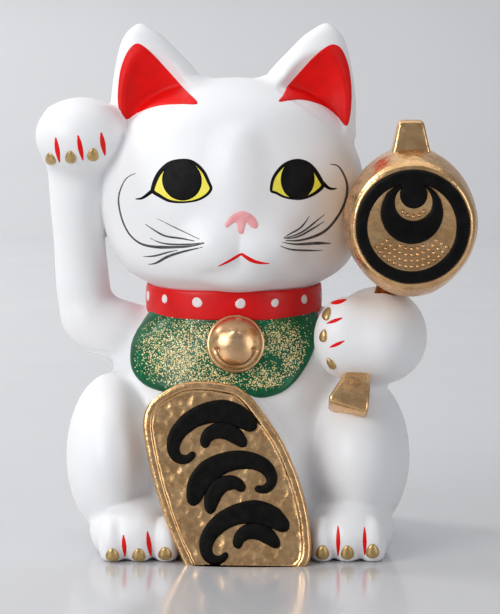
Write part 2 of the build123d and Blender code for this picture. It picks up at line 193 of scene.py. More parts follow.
def coin_outline(margin=0.0):
    """The coin's hand-cut outline, across it and along it."""
    edge = [(0.94, 0.04), (0.86, 0.32), (0.63, 0.73), (0.31, 0.89), (-0.13, 0.99), (-0.5, 0.97),
            (-0.77, 0.89), (-0.92, 0.72), (-1.0, 0.36), (-1.025, -0.02), (-0.99, -0.44), (-0.85, -0.84),
            (-0.38, -1.02), (0.25, -1.04), (0.72, -0.92), (0.895, -0.62), (0.955, -0.29)]
    a, b = COIN_HALF_WIDTH - margin, COIN_HALF_LENGTH - margin
    return [(a * x, b * y) for x, y in edge]


def haunch(p, side):
    x, half_width = (-57.5, 22.0) if side < 0 else (56.5, 25.0)
    return ellipsoid(p, (x, -17, 41), (half_width, 48, 38))


def foot(p, side):
    d = ellipsoid(p, (-46.5 if side < 0 else 52.2, -43, 10.5), (21, 32, 17))
    for x in toe_places(side):
        d = smooth_min(d, ellipsoid(p, (x, -65, 8), (6.6, 9.5, 12)), 1.6)
    return d


def coin_boss(p):
    """The lump of the belly behind the coin."""
    q = (p - COIN_CENTRE) @ COIN_TURN
    q[:, 2] += COIN_THICK + 9
    return ellipsoid(q, (0, 0, 0), (COIN_HALF_WIDTH - 1.5, COIN_HALF_LENGTH - 1.5, 10))


def body_form(p):
    d = TORSO.distance(p)
    for side in SIDES.values():
        d = smooth_min(d, haunch(p, side), 5)
    for side in SIDES.values():
        d = smooth_min(d, foot(p, side), 2.5)
    for k in range(3):
        d = smooth_min(d, ellipsoid(p, (14 + 8 * k, 61 - 0.4 * k * k, 13 + 1.4 * k * k), (9.5, 8, 9)), 5)
    return smooth_min(d, coin_boss(p), 3)


def head_form(p):
    """The head with its muzzle and ears, about its own middle plane."""
    d = HEAD.distance(p)
    right_pad, left_pad = (ellipsoid(p, (side * 9, -46, 142), (15, 13.5, 12)) for side in (-1, 1))
    pads = smooth_min(np.minimum(left_pad, right_pad), left_pad, 2)
    bridge = ellipsoid(p, (0, -43, 165), (11, 12, 28))
    chin = ellipsoid(p, (0, -43, 131), (13, 11, 8))
    face = smooth_min(smooth_min(pads, bridge, 8), chin, 4)
    d = smooth_min(d, face, 9)
    for side in SIDES.values():
        d = smooth_min(d, EAR.distance(p, side), 7)
    for side in SIDES.values():
        scoop = ellipsoid(p, (side * 37, -14, 207), (18.5, 12.5, 27), side * 11)
        scoop = smooth_max(scoop, -HEAD.distance(p) - 0.5, 3)
        d = smooth_max(d, -scoop, 1.6)
    return d


def head_place(p):
    """Points moved into the head's own axes."""
    return (p - np.array((NECK_X, 0, 0))) @ HEAD_TURN


def raised_arm(p):
    d = smooth_min(FOREARM.distance(p), ellipsoid(p, (-64, 0, 100), (16, 14.5, 11), 20), 8)
    d = smooth_min(d, ellipsoid(p, (-52, 1, 97), (16, 17, 13)), 8)
    return smooth_min(d, ellipsoid(p, PAW_CENTRE, PAW_R), 9)


def mallet_arm(p):
    d = smooth_min(ellipsoid(p, (66.5, -24, 98), (22.5, 36, 22.5)),
                   ellipsoid(p, (52, -2, 96), (18, 20, 14)), 8)
    return smooth_min(d, ellipsoid(p, GRIP_PAW_CENTRE, GRIP_PAW_R), 7)


def outer_form(p):
    d = smooth_min(body_form(p), smooth_min(raised_arm(p), mallet_arm(p), 1), 7)
    return smooth_min(d, head_form(head_place(p)), 2.5)


def cavity(p):
    """The hollow of the money box, through the neck into the head."""
    d = TORSO.distance(p)
    for side in SIDES.values():
        d = np.minimum(d, haunch(p, side))
    d = np.minimum(d + WALL, HEAD.distance(head_place(p)) + WALL)
    return smooth_max(d, RECESS + WALL - p[:, 2], 1.5)


def openings(p):
    """The foot ring's recess, the stopper's hole and the coin slot."""
    x, y = p[:, 0] / 53, (p[:, 1] - 3) / 49
    recess = np.maximum((np.sqrt(x * x + y * y) - 1) * 50, p[:, 2] - RECESS)
    hole = np.hypot(p[:, 0], p[:, 1] - STOPPER_Y) - HOLE_R
    hole = np.maximum(hole, p[:, 2] - 20)
    slot = np.max(np.abs(p - SLOT_PLACE) - SLOT_HALF, axis=1)
    return np.minimum(np.minimum(recess, hole), slot)


def ceramic(p):
    d = smooth_max(outer_form(p), -p[:, 2], 2.5)
    d = np.maximum(d, -cavity(p))
    return smooth_max(d, -openings(p), 0.9)


def gradient(field, p, h=0.05):
    """The outward direction of a field, and its steepness."""
    g = np.empty_like(p)
    for axis in range(3):
        step = np.zeros(3)
        step[axis] = h
        g[:, axis] = (field(p + step) - field(p - step)) / (2 * h)
    size = np.maximum(np.linalg.norm(g, axis=1), 1e-9)
    return g / size[:, None], size


def front_of(field, x, z, start=-120.0):
    """The points where lines from the front along +Y meet a form."""
    p = np.column_stack([x, np.full(len(x), start), z]).astype(float)
    for _ in range(60):
        p[:, 1] += np.clip(0.8 * field(p), -4, 12)
        p[:, 1] = np.minimum(p[:, 1], 40)
    return p


# ---- meshes ----------------------------------------------------------------------------
def surface_net(field, low, step):
    """Vertices and outward quads through the zero level of a field sampled on a regular grid."""
    cells = np.array(field.shape) - 1
    count, place = np.zeros(cells), np.zeros((*cells, 3))
    crossings = []
    for axis in range(3):
        a, b = np.moveaxis(field, axis, 0)[:-1], np.moveaxis(field, axis, 0)[1:]
        crossed = (a < 0) != (b < 0)
        share = np.where(crossed, a / np.where(crossed, a - b, 1), 0)
        crossings.append((crossed, a < 0))
        total, spot = np.moveaxis(count, axis, 0), np.moveaxis(place, axis, 0)
        u_axis, v_axis = [k for k in range(3) if k != axis]
        rows, columns = total.shape[1:]
        for du in (0, 1):
            for dv in (0, 1):
                hit = crossed[:, du:du + rows, dv:dv + columns]
                total += hit
                spot[..., axis] += share[:, du:du + rows, dv:dv + columns]
                spot[..., u_axis] += hit * du
                spot[..., v_axis] += hit * dv
    active = count > 0
    index = np.full(cells, -1)
    index[active] = np.arange(active.sum())
    vertices = low + step * (np.argwhere(active) + place[active] / count[active][:, None])
    quads = []
    for axis, (crossed, inside) in enumerate(crossings):
        cell = np.moveaxis(index, axis, 0)
        i, u, v = np.nonzero(crossed[:, 1:-1, 1:-1])
        u, v = u + 1, v + 1
        ring = np.column_stack([cell[i, u - 1, v - 1], cell[i, u, v - 1], cell[i, u, v],
                                cell[i, u - 1, v]])
        backward = ~inside[i, u, v] if axis != 1 else inside[i, u, v]
        ring[backward] = ring[backward][:, ::-1]
        quads.append(ring)
    return vertices, np.concatenate(quads)


def settle(field, p, rounds=3, reach=0.8):
    """Points moved onto the zero level of a field."""
    for _ in range(rounds):
        direction, size = gradient(field, p)
        p = p - direction * np.clip(field(p) / size, -reach, reach)[:, None]
    return p


def add_mesh(name, vertices, faces, smooth=True, normals=None):
    """A mesh object from vertices in millimetres from the cat's origin."""
    mesh = bpy.data.meshes.new(name)
    world = np.asarray(vertices, float) * MM + np.array(ORIGIN)
    mesh.from_pydata(world.tolist(), [], [list(map(int, f)) for f in faces])
    mesh.polygons.foreach_set("use_smooth", [smooth] * len(mesh.polygons))
    mesh.update()
    if normals is not None:
        mesh.normals_split_custom_set_from_vertices(normals.tolist())
    piece = bpy.data.objects.new(name, mesh)
    bpy.context.scene.collection.objects.link(piece)
    return piece


def finish_piece(piece, material, nodes=(), body="figurine"):
    piece.data.materials.append(material)
    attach(piece, body)
    if nodes:
        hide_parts(*nodes)
    return piece


def refinish(node, material):
    """A CAD node that is shown as it is, in a better material."""
    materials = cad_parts[node].data.materials
    materials.clear()
    materials.append(material)


def joined(parts):
    """One list of vertices and one of faces from several closed shells."""
    vertices, faces, base = [], [], 0
    for v, f in parts:
        vertices.append(np.asarray(v, float))
        faces += [[base + int(i) for i in face] for face in f]
        base += len(v)
    return np.concatenate(vertices), faces


def closed_curve(points, spacing=0.6):
    """A smooth closed outline through points, evenly spaced."""
    p = np.array(points, float)
    n = len(p)
    out = []
    for i in range(n):
        a, b, c, d = p[i - 1], p[i], p[(i + 1) % n], p[(i + 2) % n]
        steps = max(2, int(np.linalg.norm(c - b) / spacing))
        for t in np.arange(steps) / steps:
            out.append(0.5 * (2 * b + (c - a) * t + (2 * a - 5 * b + 4 * c - d) * t ** 2
                              + (3 * b - a - 3 * c + d) * t ** 3))
    return np.array(out)


def open_curve(points, spacing=0.6):
    """A smooth open line through points."""
    p = np.array(points, float)
    along = np.concatenate([[0], np.cumsum(np.linalg.norm(np.diff(p, axis=0), axis=1))])
    t = np.linspace(0, along[-1], max(6, int(along[-1] / spacing)))
    if len(p) == 2:
        return np.column_stack([np.interp(t, along, p[:, k]) for k in range(2)])
    return np.column_stack([natural_spline(along, p[:, k])(t) for k in range(2)])


def stroke(points, widths, spacing=0.6, blunt=False):
    """The outline of a brush stroke, with its width at even steps along it. A blunt one has round ends."""
    line = open_curve(points, spacing)
    t = np.linspace(0, 1, len(line))
    half = np.interp(t, np.linspace(0, 1, len(widths)), widths) / 2
    if blunt:
        run = np.concatenate([[0], np.cumsum(np.linalg.norm(np.diff(line, axis=0), axis=1))])
        reach = np.clip(np.minimum(run, run[-1] - run) / half, 0.04, 1)
        half = half * np.sqrt(1 - (1 - reach) ** 2)
    along = np.gradient(line, axis=0)
    along /= np.maximum(np.linalg.norm(along, axis=1), 1e-9)[:, None]
    side = np.column_stack([-along[:, 1], along[:, 0]])
    left, right = line + side * half[:, None], line - side * half[:, None]
    return np.concatenate([left, right[::-1]])


def inside_loops(points, loops):
    """Even-odd test of points against closed outlines."""
    x, y = points[:, 0][:, None], points[:, 1][:, None]
    odd = np.zeros(len(points), bool)
    for loop in loops:
        a, b = loop, np.roll(loop, -1, axis=0)
        straddles = (a[:, 1] > y) != (b[:, 1] > y)
        rise = np.where(b[:, 1] == a[:, 1], 1e-12, b[:, 1] - a[:, 1])
        at = a[:, 0] + (y - a[:, 1]) * (b[:, 0] - a[:, 0]) / rise
        odd ^= (np.sum(straddles & (x < at), axis=1) % 2).astype(bool)
    return odd


def edge_distance(points, loops):
    """How far points are from the nearest outline."""
    best = np.full(len(points), 1e9)
    for loop in loops:
        a, b = loop, np.roll(loop, -1, axis=0)
        ab = b - a
        length = np.maximum(np.sum(ab * ab, axis=1), 1e-12)
        for start in range(0, len(points), 4000):
            p = points[start:start + 4000, None, :]
            t = np.clip(np.sum((p - a) * ab, axis=2) / length, 0, 1)
            d = np.linalg.norm(p - a - t[..., None] * ab, axis=2).min(axis=1)
            best[start:start + 4000] = np.minimum(best[start:start + 4000], d)
    return best


def relief(loops, rise, place, depth=0.5, pitch=1.0, rings=(0.12, 0.35, 0.7)):
    """A closed shell over the region inside outlines. rise(points, distance to the edge) is its height,
    place(points, height) puts it in space, and its underside lies depth below."""
    loops = [np.asarray(loop, float) for loop in loops]
    everything = np.concatenate(loops)
    low, high = everything.min(0) - pitch, everything.max(0) + pitch
    u, v = np.meshgrid(np.arange(low[0], high[0], pitch), np.arange(low[1], high[1], pitch * 0.87))
    u = u + (np.arange(u.shape[0]) % 2)[:, None] * pitch / 2
    grid = np.column_stack([u.ravel(), v.ravel()])
    grid = grid[inside_loops(grid, loops)]
    grid = grid[edge_distance(grid, loops) > rings[-1] + pitch * 0.45]
    extra = [grid]
    for loop in loops:
        along = np.roll(loop, -1, axis=0) - np.roll(loop, 1, axis=0)
        along /= np.maximum(np.linalg.norm(along, axis=1), 1e-9)[:, None]
        side = np.column_stack([-along[:, 1], along[:, 0]])
        for inset in rings:
            for sign in (-1, 1):
                ring = loop + side * inset * sign
                ring = ring[inside_loops(ring, loops)]
                if len(ring):
                    extra.append(ring[edge_distance(ring, loops) > inset * 0.9])
    edges, base = [], 0
    for loop in loops:
        n = len(loop)
        edges += [(base + i, base + (i + 1) % n) for i in range(n)]
        base += n
    flat = [Vector(p) for p in np.concatenate([everything, *extra])]
    out, _, triangles, *_ = delaunay_2d_cdt(flat, edges, [], 0, 1e-5)
    points = np.array([tuple(p) for p in out])
    triangles = np.array([t for t in triangles if len(t) == 3])
    middle = points[triangles].mean(axis=1)
    triangles = triangles[inside_loops(middle, loops)]
    used = np.unique(triangles)
    renumber = np.full(len(points), -1)
    renumber[used] = np.arange(len(used))
    points, triangles = points[used], renumber[triangles]
    a, b, c = (points[triangles[:, k]] for k in range(3))
    turn = (b[:, 0] - a[:, 0]) * (c[:, 1] - a[:, 1]) - (b[:, 1] - a[:, 1]) * (c[:, 0] - a[:, 0])
    triangles[turn < 0] = triangles[turn < 0][:, ::-1]
    heights = rise(points, edge_distance(points, loops))
    top = place(points, heights)
    bottom = place(points, np.full(len(points), -depth))
    n = len(points)
    faces = triangles.tolist() + (triangles[:, ::-1] + n).tolist()
    sides = dict.fromkeys((t[i], t[(i + 1) % 3]) for t in triangles.tolist() for i in range(3))
    faces += [[a, a + n, b + n, b] for a, b in sides if (b, a) not in sides]
    return np.concatenate([top, bottom]), faces


def bead_rise(height, width):
    """A height that rises in a quarter round from the edge over a width."""
    def rise(points, distance):
        t = np.clip(distance / width, 0, 1)
        return height * np.sqrt(1 - (1 - t) ** 2)
    return rise


def on_form(field, lift=0.0):
    """Places points (x, z) where a line from the front meets a form, raised along its normal."""
    def place(points, height):
        p = front_of(field, points[:, 0], points[:, 1])
        direction, _ = gradient(field, p, 0.3)
        return p + direction * (height + lift)[:, None]
    return place


def on_head(place):
    """Points laid out in the head's own axes, turned with it."""
    def placed(points, height):
        return place(points, height) @ HEAD_TURN.T + np.array((NECK_X, 0, 0))
    return placed


def lathe(profile, segments=96):
    """A closed turned form about Z: profile is (radius, z) from one axis point to the other."""
    vertices, faces = [], []
    profile = list(profile)
    for r, z in profile[1:-1]:
        for k in range(segments):
            t = 2 * pi * k / segments
            vertices.append((r * cos(t), r * sin(t), z))
    rows = len(profile) - 2
    for i in range(rows - 1):
        for k in range(segments):
            m = (k + 1) % segments
            faces.append((i * segments + k, i * segments + m, (i + 1) * segments + m,
                          (i + 1) * segments + k))
    first, last = len(vertices), len(vertices) + 1
    vertices += [(0, 0, profile[0][1]), (0, 0, profile[-1][1])]
    for k in range(segments):
        m = (k + 1) % segments
        faces.append((first, m, k))
        faces.append((last, (rows - 1) * segments + k, (rows - 1) * segments + m))
    return np.array(vertices), faces


def arc(centre, radius, start, end, count):
    """Points on an arc in (radius, z), in degrees."""
    return [(centre[0] + radius * cos(radians(start + (end - start) * k / count)),
             centre[1] + radius * sin(radians(start + (end - start) * k / count)))
             for k in range(count + 1)]


def rounded_ring(half_x, half_y, corner, z, steps=6):
    """A level rounded rectangle."""
    points = []
    for quarter, (sx, sy) in enumerate(((1, 1), (-1, 1), (-1, -1), (1, -1))):
        for k in range(steps + 1):
            t = pi / 2 * (quarter + k / steps)
            points.append((sx * (half_x - corner) + corner * cos(t),
                           sy * (half_y - corner) + corner * sin(t), z))
    return points


def ring_stack(rings):
    """A closed form through rings of as many points each, counter-clockwise from above, lowest first."""
    n = len(rings[0])
    vertices = [p for ring in rings for p in ring]
    faces = []
    for i in range(len(rings) - 1):
        for k in range(n):
            m = (k + 1) % n
            faces.append((i * n + k, i * n + m, (i + 1) * n + m, (i + 1) * n + k))
    for ring, flip in ((0, True), (len(rings) - 1, False)):
        vertices.append(tuple(np.mean(rings[ring], axis=0)))
        middle = len(vertices) - 1
        for k in range(n):
            m = (k + 1) % n
            a, b = ring * n + k, ring * n + m
            faces.append((middle, b, a) if flip else (middle, a, b))
    return np.array(vertices), faces


# ---- materials -------------------------------------------------------------------------
def glaze(name, light, dark, rough, metallic=0.0, patch=9.0, grain=1.5, bump=0.02, wave=0.0, coat=0.0,
          rough_spread=0.08, ior=1.5, subsurface=0.0):
    """A fired finish: colour between light and dark in patches (mm), its roughness a little uneven,
    with fine grain (mm) and long waves in its surface."""
    material = bpy.data.materials.new(name)
    material.use_nodes = True
    nodes, links = material.node_tree.nodes, material.node_tree.links
    shader = nodes["Principled BSDF"]
    place = nodes.new("ShaderNodeTexCoord")

    def noise(size, detail):
        node = nodes.new("ShaderNodeTexNoise")
        node.inputs["Scale"].default_value = 1 / (size * MM)
        node.inputs["Detail"].default_value = detail
        links.new(place.outputs["Object"], node.inputs["Vector"])
        return node.outputs["Fac"]

    def spread(value, low, high):
        node = nodes.new("ShaderNodeMapRange")
        node.inputs["From Min"].default_value = 0.3
        node.inputs["From Max"].default_value = 0.7
        node.inputs["To Min"].default_value = low
        node.inputs["To Max"].default_value = high
        links.new(value, node.inputs["Value"])
        return node.outputs["Result"]

    patches = noise(patch, 3.0)
    mix = nodes.new("ShaderNodeMix")
    mix.data_type = "RGBA"
    mix.inputs["A"].default_value = (*light, 1)
    mix.inputs["B"].default_value = (*dark, 1)
    links.new(spread(patches, 0, 1), mix.inputs["Factor"])
    links.new(mix.outputs["Result"], shader.inputs["Base Color"])
    links.new(spread(noise(patch * 0.4, 4.0), rough - rough_spread, rough + rough_spread),
              shader.inputs["Roughness"])
    fine = nodes.new("ShaderNodeBump")
    fine.inputs["Strength"].default_value = 1.0
    fine.inputs["Distance"].default_value = bump * MM
    links.new(noise(grain, 3.0), fine.inputs["Height"])
    if wave:
        long_wave = nodes.new("ShaderNodeBump")
        long_wave.inputs["Distance"].default_value = wave * MM
        links.new(noise(grain * 6, 1.0), long_wave.inputs["Height"])
        links.new(long_wave.outputs["Normal"], fine.inputs["Normal"])
    links.new(fine.outputs["Normal"], shader.inputs["Normal"])
    shader.inputs["Metallic"].default_value = metallic
    shader.inputs["Coat Weight"].default_value = coat
    shader.inputs["Coat Roughness"].default_value = 0.08
    shader.inputs["IOR"].default_value = ior
    shader.inputs["Subsurface Weight"].default_value = subsurface
    shader.inputs["Subsurface Scale"].default_value = 2 * MM
    return material


WHITE = glaze("white_glaze", (0.88, 0.88, 0.89), (0.86, 0.86, 0.87), 0.45, patch=30, grain=0.8,
              bump=0.012, wave=0.05)
GOLD = glaze("gold_lustre", (0.84, 0.54, 0.27), (0.66, 0.38, 0.17), 0.28, metallic=1.0, patch=7,
             grain=0.5,
             bump=0.03, wave=0.25)
BELL_GOLD = glaze("bell_gold", (0.82, 0.53, 0.30), (0.70, 0.43, 0.22), 0.32, metallic=1.0, patch=6,
                  grain=0.5, bump=0.01)
# A darker gold: the claws' own paint, and on the bell's slit line it is painted shade in the groove.
CLAW_GOLD_AND_SLIT_SHADE = glaze("claw_gold_and_slit_shade", (0.62, 0.44, 0.20), (0.46, 0.31, 0.12), 0.38, metallic=0.85, patch=2,
                  grain=0.4)
BLACK = glaze("black_enamel", (0.004, 0.004, 0.0045), (0.009, 0.008, 0.008), 0.42, patch=5, grain=0.9,
              bump=0.03, ior=1.15)
COIN_BLACK = glaze("coin_black", (0.004, 0.004, 0.004), (0.010, 0.009, 0.008), 0.5, patch=4, grain=0.8,
                   bump=0.05, ior=1.15)
INK = glaze("brush_ink", (0.02, 0.02, 0.025), (0.09, 0.09, 0.10), 0.45, patch=2.5, grain=0.5)
RED = glaze("red_enamel", (0.84, 0.004, 0.003), (0.72, 0.003, 0.002), 0.5, patch=8, grain=0.6, bump=0.02,
            ior=1.3)
COLLAR_RED = glaze("collar_red", (0.76, 0.003, 0.004), (0.64, 0.002, 0.003), 0.38, patch=7, grain=0.8,
                   bump=0.02, ior=1.38)
DOT_WHITE = glaze("dot_white", (0.88, 0.84, 0.82), (0.80, 0.74, 0.72), 0.35, patch=2, grain=0.5)
GREEN = glaze("green_glaze", (0.0, 0.15, 0.055), (0.0, 0.07, 0.025), 0.34, patch=6, grain=1.2, bump=0.05,
              coat=0.12, ior=1.35)
GLITTER = glaze("glitter_gold", (0.97, 0.90, 0.58), (0.90, 0.66, 0.22), 0.35, metallic=0.35, patch=0.8,
                grain=0.3)
YELLOW = glaze("yellow_enamel", (0.97, 0.90, 0.10), (0.90, 0.76, 0.03), 0.4, patch=7, grain=0.5)
PINK = glaze("pink_enamel", (0.95, 0.46, 0.48), (0.90, 0.33, 0.35), 0.45, patch=4, grain=0.5)
PAPER = glaze("paper", (0.62, 0.62, 0.63), (0.60, 0.60, 0.61), 0.15, patch=200, grain=2, bump=0.0,
              rough_spread=0.02, ior=1.8)
RUBBER = glaze("rubber", (0.70, 0.68, 0.63), (0.60, 0.58, 0.53), 0.65, patch=6, grain=0.4, bump=0.03)


# ---- the fired ceramic, in four castings -----------------------------------------------
GRID = 1.4
CAP_DEPTH = 4.0                 # how far the closed rims dip into their casting
CASTINGS = ("body_casting", "head_casting", "raised_arm_casting", "mallet_arm_casting")


def sampled(field, low, high, step):
    axes = [np.arange(a, b + step, step) for a, b in zip(low, high)]
    values = []
    y, z = np.meshgrid(axes[1], axes[2], indexing="ij")
    for start in range(0, len(axes[0]), 16):
        x = axes[0][start:start + 16]
        p = np.column_stack([np.repeat(x, y.size), np.tile(y.ravel(), len(x)),
                             np.tile(z.ravel(), len(x))])
        values.append(field(p).reshape(len(x), *y.shape))
    return np.concatenate(values)


def casting_labels(p):
    """Which casting each point of the surface belongs to."""
    forms = np.column_stack([body_form(p), head_form(head_place(p)), raised_arm(p), mallet_arm(p)])
    label = np.argmin(forms, axis=1)
    hollow = np.abs(cavity(p)) < 0.9
    low = p[:, 2] < SEAM_Z
    label[hollow] = 1
    label[low & (hollow | (label == 1))] = 0
    label[~low & (label == 0)] = 1
    label[(openings(p) < 1.5)] = 0
    return label


def closed_piece(piece, seam):
    """The open rims of a casting closed where it meets its neighbours."""
    bm = bmesh.new()
    bm.from_mesh(piece.data)
    rims = [e for e in bm.edges if e.is_boundary]
    near = [e for e in rims if all(abs(v.co.z - seam) < 4 * MM for v in e.verts)]
    if near:
        bmesh.ops.bridge_loops(bm, edges=near)
    rims = [e for e in bm.edges if e.is_boundary]
    filled = bmesh.ops.holes_fill(bm, edges=rims, sides=0)
    hubs = bmesh.ops.poke(bm, faces=filled["faces"])["verts"]
    bm.normal_update()
    for hub in hubs:
        hub.co -= hub.normal * CAP_DEPTH * MM
    bm.to_mesh(piece.data)
    bm.free()


def make_castings():
    low, high = (np.array(corner - ORIGIN) / MM for corner in CAD_BOX)
    low, high = low - 3, high + 3
    field = sampled(ceramic, low, high, GRID)
    vertices, quads = surface_net(field, low, GRID)
    vertices = settle(ceramic, vertices)
    vertices[:, 2] = np.maximum(vertices[:, 2], 0)
    labels = casting_labels(vertices[quads].mean(axis=1))
    for k, node in enumerate(CASTINGS):
        faces = quads[labels == k]
        used, faces = np.unique(faces, return_inverse=True)
        faces = faces.reshape(-1, 4)
        piece = add_mesh("glazed_" + node, vertices[used], faces)
        closed_piece(piece, SEAM_Z * MM)
        co = np.array([v.co for v in piece.data.vertices])
        normals, _ = gradient(ceramic, (co - np.array(ORIGIN)) / MM, 0.2)
        for face in piece.data.polygons:
            face.use_smooth = True
        piece.data.normals_split_custom_set_from_vertices(normals.tolist())
        finish_piece(piece, WHITE, [node])


# ---- enamel on the head ----------------------------------------------------------------
FACE = on_head(on_form(head_form))
EYES = {
    "right": [(-40.2, 166.9), (-39, 172.4), (-36.3, 177), (-31.7, 180.8), (-25.4, 182.1), (-20.5, 181.1),
              (-16.1, 177.2), (-13.5, 171.9), (-12.6, 168.8), (-14.9, 165.6), (-19.4, 163.2),
              (-25.6, 162.1), (-31.9, 162.3), (-36.4, 164.2)],
    "left": [(13.6, 167.7), (14.3, 173.1), (17.2, 177.5), (21, 180.5), (26.3, 181.8), (31.5, 180.5),
             (35.3, 177.2), (38.6, 172), (39.5, 168.8), (36.1, 165.8), (31.2, 163.8), (26.5, 163.2),
             (20.4, 164.3), (16.2, 166.3)],
}
PUPILS = {"right": (-26.2, 172.4, 9.0, 9.2), "left": (26.6, 172.6, 8.1, 9.2)}
EYE_TAILS = {"right": [(-39.4, 167.3), (-42.2, 164.9), (-44.4, 163.4), (-47.1, 162.9)],
             "left": [(38.8, 170.4), (41, 168.2), (43.5, 167.3), (45.5, 167.4)]}


def shrunk(loop, thickness):
    """An outline moved inward by a thickness given for each direction from its middle."""
    middle = loop.mean(axis=0)
    along = np.roll(loop, -3, axis=0) - np.roll(loop, 3, axis=0)
    side = np.column_stack([-along[:, 1], along[:, 0]])
    side /= np.linalg.norm(side, axis=1)[:, None]
    side *= np.sign(np.sum(side * (middle - loop), axis=1))[:, None]
    return loop + side * thickness(loop - middle)[:, None]


def brush_line(side):
    """The painted line round an eye is thicker above its outer corner and below."""
    def thickness(q):
        direction = np.arctan2(q[:, 1], side * q[:, 0])
        return 1.55 + 0.45 * np.cos(direction - radians(50)) + 0.2 * np.cos(2 * direction)
    return thickness


def make_eyes():
    for name, side in SIDES.items():
        outer = closed_curve(EYES[name])
        inner = shrunk(outer, brush_line(side))
        x, z, a, b = PUPILS[name]
        turns = np.linspace(0, 2 * pi, 72, endpoint=False)
        round_pupil = np.column_stack([x + a * np.cos(turns), z + b * np.sin(turns)])
        iris = relief([shrunk(outer, lambda q: np.full(len(q), 0.5))], bead_rise(0.10, 0.3), FACE)
        finish_piece(add_mesh(f"iris_{name}", *iris), YELLOW, [f"{name}_eye_iris"])
        pupil = relief([round_pupil], bead_rise(0.24, 0.6), FACE)
        finish_piece(add_mesh(f"pupil_{name}", *pupil), BLACK, [f"{name}_eye_pupil"])
        rim = relief([outer, inner], bead_rise(0.28, 0.5), FACE)
        tail = relief([stroke(EYE_TAILS[name], (1.8, 1.5, 1.1, 0.5))], bead_rise(0.22, 0.4), FACE)
        finish_piece(add_mesh(f"eye_line_{name}", *joined([rim, tail])), BLACK)


WHISKERS = [
    ([(-47, 174.5), (-50.6, 172.4), (-53.3, 168), (-54.7, 162.8), (-54.3, 157.2), (-52.5, 150.9),
      (-49.4, 145.6), (-44.9, 142.3), (-39.9, 141.3), (-32.8, 141.4), (-25.3, 142.3), (-16.5, 144.7)],
      (0.3, 0.6, 0.8, 0.8, 1.0, 1.5, 1.1, 0.4)),
    ([(-42.7, 151.5), (-38.6, 149), (-34.6, 146.9), (-27.5, 146), (-20.9, 145.3)], (0.3, 0.9, 0.9, 0.4)),
    ([(-40.4, 145.1), (-36.4, 143.5), (-31, 142.9), (-23.1, 143.7), (-16.9, 144.9)],
     (0.3, 0.8, 0.8, 0.3)),
    ([(-37.7, 154.7), (-29.7, 150.9), (-18.7, 146.3)], (0.2, 0.5, 0.3)),
    ([(-43.9, 136.1), (-38.6, 136.9), (-34.1, 138.5), (-28.3, 140.3)], (0.3, 0.9, 0.8, 0.3)),
    ([(-41.2, 132.5), (-38.5, 133.2), (-34.1, 136.1), (-28.3, 138.9), (-23.1, 141), (-17.4, 142.8)],
     (0.4, 1.3, 1.2, 0.9, 0.3)),
    ([(42.2, 178.5), (45.7, 177.8), (48.7, 174.3), (50.7, 169.1), (50.6, 164.1), (48.5, 158.3),
      (45, 153.1), (40.1, 148.4), (33.3, 145.6), (27.5, 144.7), (20.5, 145.5)],
      (0.3, 1.0, 1.3, 1.3, 1.3, 1.4, 1.0, 0.4)),
    ([(19.6, 146.5), (22.5, 148), (27.5, 150.2), (32, 155.5)], (0.3, 0.8, 0.9, 0.3)),
    ([(19.6, 146.5), (24, 147), (29.9, 149.1), (34.7, 152.5), (39.5, 155.9)], (0.3, 0.8, 0.9, 0.3)),
    ([(19.6, 146.5), (25.5, 146.3), (33.3, 149.4), (39.5, 152.7)], (0.3, 0.8, 1.0, 0.3)),
    ([(19, 144.8), (27.5, 142.9), (34.8, 142.7), (42.8, 142)], (0.3, 0.8, 1.3, 1.5, 0.4)),
    ([(18.1, 143.1), (22.4, 141.3), (27.5, 140.1), (38.9, 139)], (0.3, 0.9, 0.9, 0.3)),
]
MOUTH = [([(-10.1, 134), (-5, 136.6), (0.4, 139.8)], (0.5, 1.2, 1.4, 1.2)),
         ([(0.2, 139.8), (5.7, 136.4), (13.1, 135.1)], (1.2, 1.9, 1.4, 0.4))]
NOSE = [(-7.3, 152.6), (-5.2, 156), (-2, 158.4), (0.4, 159), (3, 158.5), (6.2, 156.3), (7.9, 153),
        (7, 151.2), (4.7, 151.8), (2.6, 153.9), (1.8, 151.5), (1.3, 149.2), (0.2, 148.6), (-1, 149.3),
        (-1.4, 151.8), (-2.1, 154), (-4.2, 153), (-5.9, 151.6)]
EAR_REDS = {
    "right": [(-46.2, 232.8), (-49.9, 229), (-52.9, 221.5), (-54.2, 213), (-54.4, 205), (-53, 199.5),
              (-50.2, 197.6), (-45.5, 200.6), (-39.8, 203.4), (-34, 205), (-26, 205.9), (-18.3, 206.5),
              (-24, 212.5), (-30.6, 219.9), (-37.3, 227.2), (-42.6, 231.9)],
    "left": [(46.8, 232.3), (42.6, 231), (37.1, 226.5), (29.4, 218), (22.5, 210.5), (19.1, 207.1),
             (24, 207.3), (30.5, 207.2), (37, 205.6), (43.5, 202.6), (48.6, 198), (52.2, 194.4),
             (54.2, 199), (55, 206.5), (54.9, 214), (53.6, 222.5), (50.5, 229.8)],
}


def make_face():
    strokes = [relief([stroke(points, widths, 0.8)], bead_rise(0.12, 0.3), FACE, pitch=1.5, rings=(0.25,))
               for points, widths in WHISKERS]
    finish_piece(add_mesh("whiskers", *joined(strokes)), INK)
    lips = [relief([stroke(points, widths)], bead_rise(0.2, 0.4), FACE) for points, widths in MOUTH]
    finish_piece(add_mesh("mouth", *joined(lips)), RED, ["mouth_line"])
    nose = relief([closed_curve(NOSE)], bead_rise(0.7, 2.0), FACE, pitch=0.7)
    finish_piece(add_mesh("nose_enamel", *nose), PINK, ["nose"])
    for name in SIDES:
        lining = relief([closed_curve(EAR_REDS[name], 1.0)], bead_rise(0.4, 0.5), FACE, pitch=0.9)
        finish_piece(add_mesh(f"ear_red_{name}", *lining), RED, [f"{name}_ear_lining"])


# ---- toes ------------------------------------------------------------------------------
BODY_FRONT = on_form(outer_form)
SPINDLE = (0.25, 0.8, 1.0, 0.75, 0.25)


